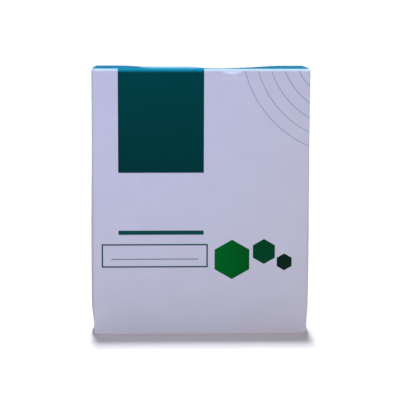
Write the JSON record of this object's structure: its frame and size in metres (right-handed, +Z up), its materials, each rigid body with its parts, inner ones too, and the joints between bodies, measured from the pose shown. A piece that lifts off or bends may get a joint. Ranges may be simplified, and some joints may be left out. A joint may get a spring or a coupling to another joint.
{
  "type": "tuck-end folding carton",
  "caption": "Slim upright folding carton of printed white paperboard, with a tuck-in lid hinged at the front and a glued base.",
  "frame": {"origin": "middle of the base, on the surface that the carton stands on", "axes": "+Z up to the lid, -Y out of the front panel, +X to the right as the front panel is looked at"},
  "size_m": [0.12, 0.034, 0.15],
  "materials": {
    "white_board": "white clay-coated paperboard with a satin varnish, uncoated inside",
    "green_board": "the same paperboard, printed solid dark green under the varnish"
  },
  "bodies": {
    "carton": {"carton_body": "white_board"},
    "lid": {"top_lid": "green_board"}
  },
  "joints": [
    {"name": "lid_fold", "type": "hinge", "parent": "carton", "child": "lid", "pos_m": [0, -0.01659, 0.14959], "axis": [1, 0, 0], "range_deg": [0, 170]}
  ]
}
